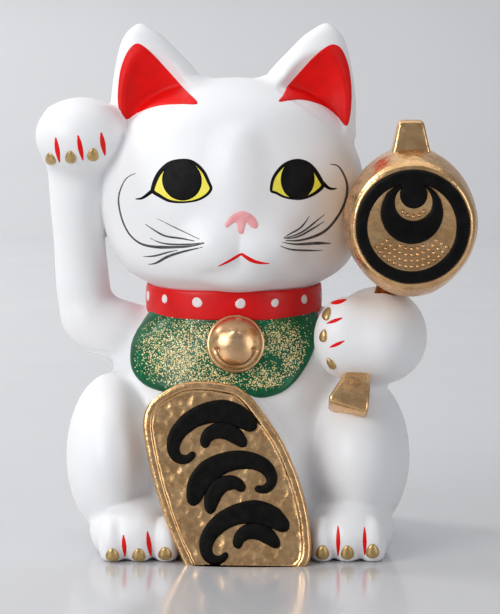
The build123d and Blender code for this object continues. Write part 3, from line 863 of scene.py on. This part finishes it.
def toe_lines(lines, width):
    return joined([relief([stroke(ends, [width * s for s in SPINDLE])], bead_rise(0.2, 0.5), BODY_FRONT)
                   for ends in lines])


def claw_outline(x, z, half_width, half_height, lean=0.0):
    """A rounded drop, narrower above, leaning in degrees."""
    t = np.linspace(0, 2 * pi, 40, endpoint=False)
    u = half_width * np.cos(t) * (1 - 0.28 * np.sin(t))
    v = half_height * np.sin(t)
    c, s = cos(radians(lean)), sin(radians(lean))
    return np.column_stack([x + u * c - v * s, z + u * s + v * c])


def claws(places, half_width, half_height, height=1.3):
    shells = []
    for x, z, lean in places:
        outline = claw_outline(x, z, half_width, half_height, lean)
        shells.append(relief([outline], bead_rise(height, half_width), BODY_FRONT, pitch=0.7))
    return joined(shells)


TOE_LINES = {
    "raised_paw_toe_lines": ([[(-83, 190.6), (-81.6, 178.5)], [(-72.5, 191.8), (-70.5, 179.9)],
                              [(-62, 192.9), (-60.4, 182)]], 2.4),
    "grip_paw_toe_lines": ([[(43.6, 115.4), (50.9, 117.4)], [(41.6, 107.1), (48.8, 110)],
                            [(42.9, 96.4), (49.7, 99.8)]], 1.6),
    "right_foot_toe_lines": ([[(-50.8, 13.2), (-50.2, 2.5)], [(-40, 14.6), (-38.4, 2.5)]], 2.2),
    "left_foot_toe_lines": ([[(46.6, 16.9), (46.6, 3)], [(58.6, 16.4), (58.7, 3.5)]], 2.0),
}
CLAWS = {
    "raised_paw_claws": ([(-86, 180, 8), (-76.2, 181.5, 3), (-65.8, 182.6, -6)], 2.5, 3.1),
    "grip_paw_claws": ([(41.9, 111.1, -25), (40.3, 101.5, -10), (43.7, 88.7, 32)], 1.6, 3.0),
    "right_foot_claws": ([(-55.9, 4, 0), (-43.9, 4, 0), (-32, 4.6, 0)], 3.0, 3.2),
    "left_foot_claws": ([(39.5, 5.2, 0), (50.8, 5.2, 0), (62.2, 5.8, 0)], 2.9, 3.5),
}


def make_toes():
    for node, (lines, width) in TOE_LINES.items():
        finish_piece(add_mesh("painted_" + node, *toe_lines(lines, width)), RED, [node])
    for node, (places, half_width, half_height) in CLAWS.items():
        finish_piece(add_mesh("painted_" + node, *claws(places, half_width, half_height)), CLAW_GOLD_AND_SLIT_SHADE,
                     [node])


# ---- collar, bib and bell --------------------------------------------------------------
COLLAR_R = 41.3
COLLAR_HEM = 1.8                # the band's glaze runs down onto the shoulders
DOT_COUNT, DOT_START = 14, -139.0


def collar_point(turn, out, z):
    """A point of the band at an angle, so far out of its outline."""
    a, b = COLLAR_R, COLLAR_R * NECK_DEPTH
    nx, ny = cos(turn) / a, sin(turn) / b
    size = (nx * nx + ny * ny) ** 0.5
    return NECK_X + a * cos(turn) + out * nx / size, NECK_Y + b * sin(turn) + out * ny / size, z


def make_collar():
    (_, _, low), (_, _, high) = box_mm("collar")
    low -= COLLAR_HEM
    r = 1.1
    section = [(-6, low), (-r, low)]
    section += [(-r + r * cos(t), low + r + r * sin(t)) for t in np.linspace(-pi / 2, 0, 5)[1:]]
    section += [(0.25 * sin(pi * s), low + r + (high - low - 2 * r) * s)
                for s in np.linspace(0, 1, 9)[1:-1]]
    section += [(-r + r * cos(t), high - r + r * sin(t))
                for t in np.linspace(0, pi / 2, 5)] + [(-6, high)]
    turns = np.linspace(0, 2 * pi, 160, endpoint=False)
    n = len(section)
    vertices = [collar_point(t, out, z + 0.12 * sin(3 * t) + 0.08 * sin(7 * t + 1))
                for t in turns for out, z in section]
    faces = []
    for i in range(len(turns)):
        j = (i + 1) % len(turns)
        for k in range(n):
            m = (k + 1) % n
            faces.append((i * n + k, j * n + k, j * n + m, i * n + m))
    finish_piece(add_mesh("collar_band", vertices, faces), COLLAR_RED, ["collar"])

    middle = (low + COLLAR_HEM + high) / 2
    rng = np.random.default_rng(5)
    shells = []
    for k in range(DOT_COUNT):
        t = np.linspace(0, 2 * pi, 36, endpoint=False)
        size = 2.15 + 0.22 * rng.standard_normal()
        wobble = size * (1 + 0.04 * np.sin(2 * t + rng.uniform(0, 6))
                         + 0.03 * np.sin(3 * t + rng.uniform(0, 6)))
        rise_by = 0.3 * rng.standard_normal() + 0.9
        start = radians(DOT_START + 360 / DOT_COUNT * k + 2.0 * sin(1.9 * k - 2.2))

        def place(points, height):
            return np.array([collar_point(start + x / 40, h + 0.25, middle + rise_by + z)
                             for (x, z), h in zip(points, height)])
        outline = np.column_stack([wobble * np.cos(t), wobble * np.sin(t)])
        shells.append(relief([outline], bead_rise(0.3, 1.0), place, pitch=0.7))
    finish_piece(add_mesh("collar_white_dots", *joined(shells)), DOT_WHITE,
                 ["collar_dots"])


BIB = [(-40.5, 110), (-45.5, 102), (-48.7, 92), (-48.3, 82.5), (-43.5, 76.6), (-35, 73.8), (-16, 72),
       (6, 72.2), (15, 72.4), (23.5, 75.4), (30.5, 82.4), (36, 92), (38.3, 102), (37.5, 108), (32, 113),
       (0, 115), (-30, 114)]
BIB_THICK = 1.8
BIB_MARGIN = 0.6                # it ends this far inside the outline of the chest
GLITTER_CLUSTERS = [(-27, 91, 16, 12), (-12, 80, 12, 7), (20, 97, 8, 6), (27, 89, 7, 8), (14, 80, 8, 6),
                    (-16, 100, 10, 4)]


def chest(p):
    d = smooth_min(TORSO.distance(p), haunch(p, -1), 5)
    return smooth_min(d, haunch(p, 1), 5)


CHEST = on_form(chest)


def make_bib():
    def rise(points, distance):
        t = np.clip(distance / 2.2, 0, 1)
        x, z = points[:, 0], points[:, 1]
        ripple = 0.12 * np.sin(x * 0.31 + 1) * np.sin(z * 0.37)
        return BIB_THICK * np.sqrt(1 - (1 - t) ** 2) + ripple * t
    loop = closed_curve(BIB, 1.0)
    reach = np.sqrt(TORSO.area(loop[:, 1])) - BIB_MARGIN
    loop[:, 0] = np.clip(loop[:, 0], TORSO.x(loop[:, 1]) - reach, TORSO.x(loop[:, 1]) + reach)
    shell = relief([loop], rise, CHEST, depth=1.0, pitch=1.4, rings=(0.15, 0.5, 1.1, 1.9))
    finish_piece(add_mesh("bib_glazed", *shell), GREEN, ["bib"])

    rng = np.random.default_rng(11)
    spots = np.column_stack([rng.uniform(-48, 39, 26000), rng.uniform(72, 110, 26000)])
    spots = spots[inside_loops(spots, [loop])]
    edge = edge_distance(spots, [loop])
    cloud = np.zeros(len(spots))
    for x, z, a, b in GLITTER_CLUSTERS:
        d = np.hypot((spots[:, 0] - x) / a, (spots[:, 1] - z) / b)
        cloud = np.maximum(cloud, np.clip(1.5 - d, 0, 1))
    cloud *= 0.75 + 0.25 * np.sin(spots[:, 0] * 0.9) * np.sin(spots[:, 1] * 0.8 + 1)
    chance = np.clip((edge - 2.2) / 3, 0, 1) * (0.05 + 0.95 * cloud) * 0.6
    spots = spots[rng.uniform(size=len(spots)) < chance]
    heights = rise(spots, edge_distance(spots, [loop]))
    centres = CHEST(spots, heights - 0.02)
    outward, _ = gradient(chest, centres, 0.3)
    shells = []
    for centre, out in zip(centres, outward):
        normal = out + 0.35 * rng.standard_normal(3)
        normal /= np.linalg.norm(normal)
        across = np.cross(normal, rng.standard_normal(3))
        across /= np.linalg.norm(across)
        other = np.cross(normal, across)
        size = rng.uniform(0.18, 0.44)
        ring = [centre + size * (across * cos(k * pi / 3) + other * sin(k * pi / 3)) for k in range(6)]
        shells.append((ring + [centre + 0.10 * normal, centre - 0.18 * normal],
                       [(k, (k + 1) % 6, 6) for k in range(6)] + [((k + 1) % 6, k, 7) for k in range(6)]))
    piece = add_mesh("bib_glitter", *joined(shells), smooth=False)
    finish_piece(piece, GLITTER)


BELL_PLACE = np.array((0.0, -43.0, 96.2))
BELL_TURN = turn_matrix("X", 90 - 14.0)
BELL_R, BELL_DOME_R, BELL_DOME_H, BELL_RIM_Z = 13.4, 12.4, 10.5, 3.0


def bell_slit():
    t = np.radians(np.linspace(184, 356, 30))
    return np.column_stack([9.0 * np.cos(t), -3.0 + 8.0 * np.sin(t)])


def make_bell():
    profile = [(0, 0), (BELL_R - 1, 0)] + arc((BELL_R - 1, 1), 1, -90, 0, 5)
    profile += arc((BELL_R - 1.2, 2.8), 1.2, 0, 110, 7) + [(BELL_DOME_R + 0.1, 3.3)]
    profile += [(BELL_DOME_R * cos(t), BELL_RIM_Z + BELL_DOME_H * sin(t))
                for t in np.linspace(0.03, pi / 2, 60)]
    profile[-1] = (0, BELL_RIM_Z + BELL_DOME_H)
    vertices, faces = lathe(profile, 192)
    front = vertices[:, 2] > BELL_RIM_Z + 0.3
    slit = bell_slit()
    gap = edge_distance(vertices[:, :2], [np.concatenate([slit, slit[::-1]])])
    holes = np.minimum(np.linalg.norm(vertices[:, :2] - slit[0], axis=1),
                       np.linalg.norm(vertices[:, :2] - slit[-1], axis=1))
    sink = np.clip(1.2 - gap / 0.7, 0, 1) * 0.9 + np.clip(1.6 - holes / 1.1, 0, 1) * 1.2
    nub = np.exp(-(vertices[:, 0] / 2.0) ** 2 - ((vertices[:, 1] - 4.4) / 1.2) ** 2)
    inward = -vertices / np.linalg.norm(vertices, axis=1)[:, None]
    vertices = vertices + inward * (front * (sink - 0.7 * nub))[:, None]
    finish_piece(add_mesh("bell_cast", vertices @ BELL_TURN.T + BELL_PLACE, faces), BELL_GOLD,
                 ["bell"])

    def place(points, height):
        share = 1 - np.sum(points ** 2, axis=1) / BELL_DOME_R ** 2
        z = BELL_RIM_Z + BELL_DOME_H * np.sqrt(np.maximum(share, 0)) + height - 0.75
        return np.column_stack([points * 0.97, z]) @ BELL_TURN.T + BELL_PLACE
    # The slit is drawn as a strip of darker gold on the floor of its groove: painted shade in the slit.
    line = relief([stroke(slit, (0.2, 0.5, 0.6, 0.5, 0.2))], bead_rise(0.1, 0.2), place, depth=0.3)
    finish_piece(add_mesh("bell_slit", *line), CLAW_GOLD_AND_SLIT_SHADE)


# ---- mallet ----------------------------------------------------------------------------
BARREL_LOW, BARREL_HIGH = box_mm("mallet_barrel")
MALLET_CENTRE = (BARREL_LOW + BARREL_HIGH) / 2
MALLET_TURN = turn_matrix("X", 90)
MALLET_R = (BARREL_HIGH[2] - BARREL_LOW[2]) / 2
MALLET_END_R = MALLET_R - 3.0
MALLET_HALF = (BARREL_HIGH[1] - BARREL_LOW[1]) / 2
ROUNDEL_R = 25.6
BARREL_SHOULDER = 16.0          # how far behind its face the barrel is fully swollen
BARREL_SWELL = 0.11             # and how much taller it is there
BIG_CRESCENT = (-0.5, -0.2, 20.0, 14.0, 6.4)
SMALL_CRESCENT = (0.2, 11.0, 8.4, 6.2, 3.4)


def mallet_space(p):
    return np.asarray(p) @ MALLET_TURN.T + MALLET_CENTRE


def crescent_outline(x, y, outer, inner, shift):
    """The outline between an outer circle and a smaller one inside it, shifted up to cut through its top."""
    rise = (outer ** 2 - inner ** 2 + shift ** 2) / (2 * shift)
    half = (outer ** 2 - rise ** 2) ** 0.5
    start, end = atan2(rise, half), atan2(rise - shift, half)
    outer_turns = np.linspace(pi - start, 2 * pi + start, 90)
    inner_turns = np.linspace(2 * pi + end, pi - end, 70)[1:-1]
    rim = np.column_stack([x + outer * np.cos(outer_turns), y + outer * np.sin(outer_turns)])
    bay = np.column_stack([x + inner * np.cos(inner_turns), y + shift + inner * np.sin(inner_turns)])
    return np.concatenate([rim, bay])


def make_mallet():
    half, end, swell = MALLET_HALF, MALLET_END_R, MALLET_R
    ball = ((swell - end) ** 2 + half ** 2) / (2 * (swell - end))
    r = 1.8
    side = [((ball ** 2 - z * z) ** 0.5 - ball + swell, z) for z in np.linspace(-half + r, half - r, 30)]
    profile = [(0, -half), (end - r, -half)] + arc((end - r, -half + r), r, -90, -10, 5) + side
    profile += arc((end - r, half - r), r, 10, 90, 5)
    profile += [(ROUNDEL_R + 0.2, half - 0.1), (ROUNDEL_R - 1, half - 0.6), (0, half - 0.6)]
    vertices, faces = lathe(profile, 144)
    t = np.arctan2(vertices[:, 1], vertices[:, 0])
    swing = 0.14 * np.sin(3 * t + vertices[:, 2] * 0.09) + 0.09 * np.sin(7 * t - vertices[:, 2] * 0.15)
    swing *= np.clip(np.hypot(vertices[:, 0], vertices[:, 1]) / 10, 0, 1)
    vertices[:, :2] *= (1 - np.abs(swing) / 30)[:, None]
    behind = np.clip((half - vertices[:, 2]) / BARREL_SHOULDER, 0, 1) ** 0.7
    vertices[:, 1] *= 1 + BARREL_SWELL * behind * np.abs(np.sin(t)) ** 1.5
    finish_piece(add_mesh("mallet_gold_barrel", mallet_space(vertices), faces), GOLD,
                 ["mallet_barrel"])

    def front(points, height):
        return mallet_space(np.column_stack([points, half + height]))
    turns = np.linspace(0, 2 * pi, 150, endpoint=False)
    edge = ROUNDEL_R * (1 + 0.004 * np.sin(5 * turns) + 0.003 * np.sin(11 * turns + 2))
    circle = np.column_stack([edge * np.cos(turns), edge * np.sin(turns)])
    plate = relief([circle, crescent_outline(*BIG_CRESCENT), crescent_outline(*SMALL_CRESCENT)],
                   bead_rise(1.6, 0.9), front, depth=0.8, pitch=1.3)
    finish_piece(add_mesh("mallet_black_plate", *plate), BLACK, ["mallet_roundel"])
    refinish("mallet_beads", GOLD)


HANDLE_PLACE = (57.0, -47.0, 84.0)
HANDLE_TILT, HANDLE_LEAN = 18.0, 24.0
TIP_RISE = 3.0                  # the tip stands on the swollen shoulder


def make_handle():
    x, y, _ = MALLET_CENTRE
    low, high = box_mm("mallet_handle_tip")
    top, base = high[2] + TIP_RISE, low[2]
    rows = [(base - 2, 9.2), (base + 2.2, 9.0), (base + 5.2, 8.2), (top - 2.2, 6.1), (top - 1.0, 5.7),
            (top - 0.3, 5.0), (top, 4.0)]
    rings = [rounded_ring(h, h, min(1.6, h * 0.35), z) for z, h in rows]
    vertices, faces = ring_stack(rings)
    vertices = vertices + np.array((x, y, 0))
    finish_piece(add_mesh("mallet_tip", vertices, faces), GOLD, ["mallet_handle_tip"])

    rows = [(-20, 7.4, 6.9), (-19.6, 8.5, 8.0), (-18.8, 9.1, 8.6), (-17.6, 9.4, 8.9), (-13, 8.4, 7.9),
            (-7, 7.0, 6.5), (-3, 5.6, 5.1), (0, 5.0, 4.5), (44, 5.0, 4.5)]
    rings = [rounded_ring(a, b, 1.5, z) for z, a, b in rows]
    vertices, faces = ring_stack(rings)
    turn = turn_matrix("X", -HANDLE_LEAN) @ turn_matrix("Y", HANDLE_TILT)
    vertices = vertices @ turn.T + np.array(HANDLE_PLACE)
    finish_piece(add_mesh("mallet_grip_end", vertices, faces), GOLD, ["mallet_handle"])


# ---- coin ------------------------------------------------------------------------------
COIN_FLOOR = -1.4               # the sunk field inside the rim
DENTS = 420
SCROLL_HEIGHTS = (26.0, 2.0, -22.0)
LONG_WIDTHS = (5.5, 10.0, 11.0, 9.5, 8.5, 7.0, 5.0, 3.0)
SHORT_WIDTHS = (4.0, 7.5, 8.0, 6.5, 4.0)


def coin_space(points, height):
    p = np.column_stack([points, height]) @ COIN_TURN.T + COIN_CENTRE
    p[:, 2] = np.maximum(p[:, 2], 0)
    return p


def hammered(points, rng):
    """Shallow dents of a hammered field."""
    across, along = COIN_HALF_WIDTH, COIN_HALF_LENGTH
    centres = np.column_stack([rng.uniform(-across, across, DENTS), rng.uniform(-along, along, DENTS)])
    sizes = rng.uniform(2.0, 4.2, DENTS)
    deep = np.zeros(len(points))
    for start in range(0, len(points), 4000):
        p = points[start:start + 4000]
        d = np.linalg.norm(p[:, None] - centres[None], axis=2) / sizes
        deep[start:start + 4000] = np.max(np.clip(1 - d * d, 0, 1) * (0.12 * sizes), axis=1)
    return deep


def scrolls():
    """Three cloud scrolls, one above the other, each a curled arch over a shorter one."""
    strokes = []
    for k, v in enumerate(SCROLL_HEIGHTS):
        side = 1 if k % 2 else -1
        arch = [(-19, -7), (-11, 3.5), (0, 7), (11, 5), (19, -3), (18.5, -8), (14.5, -10), (10.5, -8)]
        under = [(-12.5, -13), (-8, -5), (-2, -2), (4, -4.5), (5, -8)]
        for line, widths in ((arch, LONG_WIDTHS), (under, SHORT_WIDTHS)):
            strokes.append(([(x * side, v + y) for x, y in line], widths))
    return strokes


def make_coin():
    rng = np.random.default_rng(3)

    def rise(points, d):
        outer = -2.2 + 2.2 * np.sqrt(1 - (1 - np.clip(d / 1.8, 0, 1)) ** 2)
        drop = np.clip((d - 3.4) / 1.3, 0, 1)
        inner = COIN_FLOOR * drop * drop * (3 - 2 * drop)
        inside = np.clip((d - 4.7) / 1.0, 0, 1)
        return outer + inner - (hammered(points, rng) - 0.2) * inside
    shell = relief([closed_curve(coin_outline(), 1.0)], rise, coin_space, depth=COIN_THICK, pitch=0.8,
                   rings=(0.15, 0.4, 0.8, 1.3, 2.0, 2.8, 3.5, 4.0, 4.6))
    finish_piece(add_mesh("coin_gold", *shell), GOLD, ["coin_slab"])

    def on_field(points, height):
        return coin_space(points, height + COIN_FLOOR - 0.1)
    shells = [relief([stroke(line, widths, blunt=True)], bead_rise(2.0, 1.4), on_field, pitch=1.0)
              for line, widths in scrolls()]
    finish_piece(add_mesh("coin_black_scrolls", *joined(shells)), COIN_BLACK,
                 ["coin_relief"])


# ---- stage -----------------------------------------------------------------------------
VIEW_RISE = 7.0
VIEW_DISTANCE = 1.5
VIEW_LENS = 123.948             # for a sensor 24 high
VIEW_TARGET = np.array((6.6, 0.0, 108.3))
# The paper sweep and the lights are in metres.
SWEEP_FRONT_Y, SWEEP_BEND_Y, SWEEP_R, SWEEP_HEIGHT, SWEEP_HALF_WIDTH = -3.2, 1.4, 0.8, 3.2, 3.5


def make_camera():
    target = Vector(VIEW_TARGET * MM) + ORIGIN
    rise = radians(VIEW_RISE)
    camera = bpy.data.objects.new("camera", bpy.data.cameras.new("camera"))
    bpy.context.scene.collection.objects.link(camera)
    camera.data.sensor_fit = "VERTICAL"
    camera.data.sensor_height = 24
    camera.data.lens = VIEW_LENS
    camera.data.clip_start = 0.01
    camera.location = target + Vector((0, -cos(rise), sin(rise))) * VIEW_DISTANCE
    camera.rotation_euler = (pi / 2 - rise, 0, 0)
    bpy.context.scene.camera = camera


def area_light(name, place, target, size, power, colour=(1, 1, 1)):
    light = bpy.data.lights.new(name, "AREA")
    light.shape = "RECTANGLE"
    light.size, light.size_y = size
    light.energy = power
    light.color = colour
    lamp = bpy.data.objects.new(name, light)
    lamp.location = place
    lamp.rotation_euler = (Vector(target) - Vector(place)).to_track_quat("-Z", "Y").to_euler()
    bpy.context.scene.collection.objects.link(lamp)


def make_stage():
    r, bend = SWEEP_R, SWEEP_BEND_Y
    depth = [(SWEEP_FRONT_Y, 0.0), (bend, 0.0)]
    depth += [(bend + r * sin(t), r - r * cos(t)) for t in np.linspace(0, pi / 2, 20)[1:]]
    depth += [(bend + r, SWEEP_HEIGHT)]
    vertices = [(x, y, z) for y, z in depth for x in (-SWEEP_HALF_WIDTH, SWEEP_HALF_WIDTH)]
    faces = [(2 * i, 2 * i + 1, 2 * i + 3, 2 * i + 2) for i in range(len(depth) - 1)]
    mesh = bpy.data.meshes.new("sweep")
    mesh.from_pydata(vertices, [], faces)
    mesh.polygons.foreach_set("use_smooth", [True] * len(faces))
    sweep = bpy.data.objects.new("sweep", mesh)
    bpy.context.scene.collection.objects.link(sweep)
    sweep.data.materials.append(PAPER)
    world = bpy.data.worlds.new("studio")
    world.use_nodes = True
    world.node_tree.nodes["Background"].inputs["Color"].default_value = (0.9, 0.93, 1.0, 1)
    world.node_tree.nodes["Background"].inputs["Strength"].default_value = 0.30
    bpy.context.scene.world = world
    middle = (0, 0, 0.12)
    area_light("key", (-1.0, -0.85, 0.65), middle, (0.8, 0.8), 11.5)
    area_light("fill", (1.1, -0.8, 0.45), middle, (0.6, 0.9), 3.6)
    area_light("top", (0, 0.2, 1.2), middle, (1.4, 1.1), 4.4)
    area_light("backdrop", (-1.5, 0.6, 1.6), (-0.7, 2.2, 1.0), (0.8, 0.8), 50)
    bpy.context.scene.view_settings.view_transform = "Standard"


make_camera()
make_stage()
make_castings()
make_eyes()
make_face()
make_toes()
make_collar()
make_bib()
make_bell()
make_mallet()
make_handle()
make_coin()
refinish("stopper", RUBBER)
